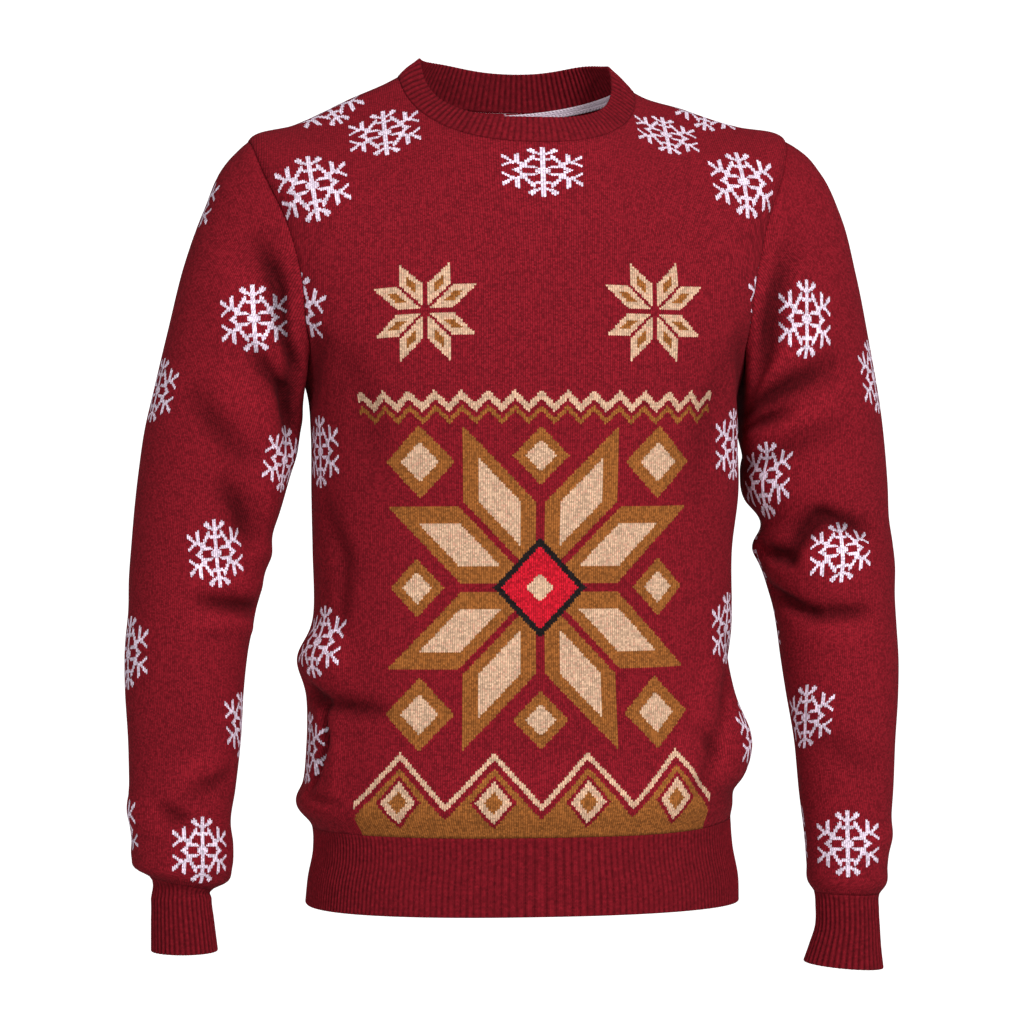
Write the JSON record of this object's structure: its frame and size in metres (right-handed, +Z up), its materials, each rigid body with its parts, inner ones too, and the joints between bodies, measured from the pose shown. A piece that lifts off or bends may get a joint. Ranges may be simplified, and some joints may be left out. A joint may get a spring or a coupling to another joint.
{
  "type": "christmas sweater",
  "caption": "Long-sleeved crew-neck knitted winter sweater in dark red with snowflakes, filled out as worn, open at the neck, hem and cuffs",
  "frame": {"origin": "the middle of the neck opening, at the height where the shoulder seams meet the collar, which is where the wearer's shoulders carry the sweater", "axes": "+Z is up, the front faces -Y, and +X is the wearer's left"},
  "size_m": [0.6622, 0.2292, 0.772],
  "materials": {
    "body_knit": "soft knitted jersey, slightly fuzzy",
    "rib_knit": "ribbed knit",
    "neck_tape": "linked knitted tape"
  },
  "bodies": {
    "root": {"front": "body_knit", "back": "body_knit", "sleeve_left": "body_knit", "sleeve_right": "body_knit", "hem_band": "rib_knit", "neckband": "rib_knit", "cuff_left": "rib_knit", "cuff_right": "rib_knit", "neck_tape": "neck_tape"}
  },
  "joints": []
}
